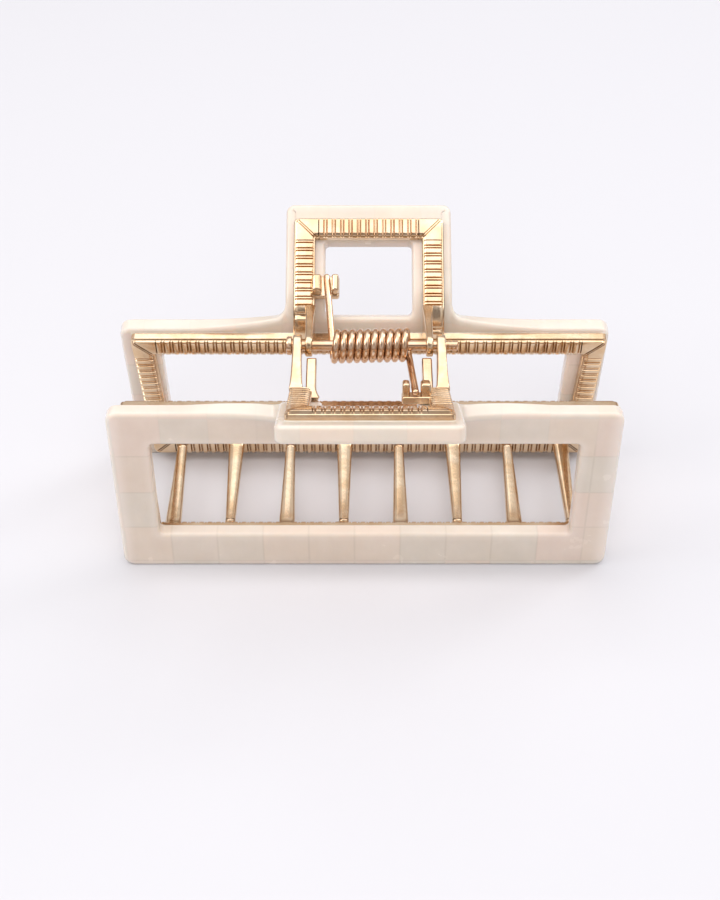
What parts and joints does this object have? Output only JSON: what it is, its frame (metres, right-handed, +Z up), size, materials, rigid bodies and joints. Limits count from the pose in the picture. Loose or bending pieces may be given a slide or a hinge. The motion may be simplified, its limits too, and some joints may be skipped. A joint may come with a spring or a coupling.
{
  "type": "claw clip",
  "caption": "Spring-loaded rectangular claw clip for hair: two windowed acetate jaws on gold-plated castings with interleaving teeth, hinged on a pin.",
  "frame": {"origin": "on the table, midway between the jaws and midway along the covers, under the hinge pin", "axes": "+X along the pin and the long side of the covers, +Y towards the rear jaw, +Z up from the table to the handles"},
  "size_m": [0.092, 0.0634, 0.0506],
  "materials": {
    "gold_plated_casting": "polished pale rose-gold plating on a die casting",
    "gold_plated_pin": "polished pale gold plating",
    "gold_plated_wire": "bright gold-plated spring wire",
    "pearl_acetate": "polished milky mother-of-pearl acetate with a tile pattern",
    "clear_adhesive": "cured clear glue"
  },
  "bodies": {
    "rear_jaw": {"rear_jaw_frame": "gold_plated_casting", "rear_handle_frame": "gold_plated_casting", "rear_lugs": "gold_plated_casting", "rear_teeth": "gold_plated_casting", "rear_spring_fork": "gold_plated_casting", "rear_adhesive": "clear_adhesive", "rear_cover": "pearl_acetate", "hinge_pin": "gold_plated_pin", "torsion_spring": "gold_plated_wire"},
    "front_jaw": {"front_jaw_frame": "gold_plated_casting", "front_handle_frame": "gold_plated_casting", "front_lugs": "gold_plated_casting", "front_teeth": "gold_plated_casting", "front_spring_fork": "gold_plated_casting", "front_adhesive": "clear_adhesive", "front_cover": "pearl_acetate"}
  },
  "joints": [
    {"name": "jaw_hinge", "type": "hinge", "parent": "rear_jaw", "child": "front_jaw", "pos_m": [0, 0, 0.04135], "axis": [-1, 0, 0], "range_deg": [0, 75], "stiffness_Nm_per_rad": 0.13, "springref_deg": -51.57, "deforming": ["torsion_spring"]}
  ]
}
